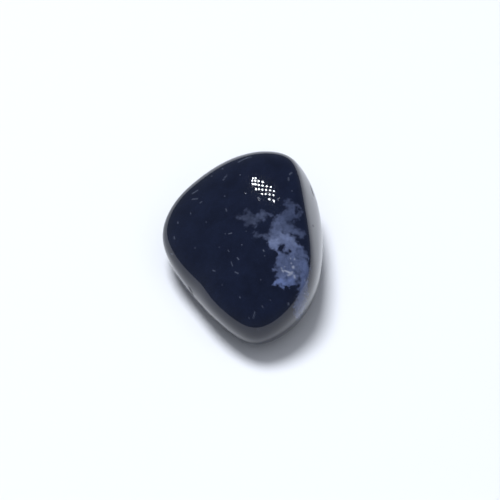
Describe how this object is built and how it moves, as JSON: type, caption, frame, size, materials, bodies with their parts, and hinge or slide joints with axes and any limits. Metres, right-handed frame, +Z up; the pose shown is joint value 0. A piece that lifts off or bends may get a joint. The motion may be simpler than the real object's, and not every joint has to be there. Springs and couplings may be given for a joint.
{
  "type": "tumbled zebra chalcedony pebble",
  "caption": "Polished tumbled pebble of dark navy chalcedony with a milky lavender patch; domed faces meet over round edges and it rests on a small worn flat.",
  "frame": {"origin": "on the resting surface, under the middle of the stone's box", "axes": "+Z up from the worn flat, the shortest way through the stone; +Y along its length, away from the end that is narrow and undercut, the longest way; +X across it towards the steep flank"},
  "size_m": [0.0248, 0.031, 0.0164],
  "materials": {
    "chalcedony": "polished"
  },
  "bodies": {
    "root": {"stone": "chalcedony"}
  },
  "joints": []
}
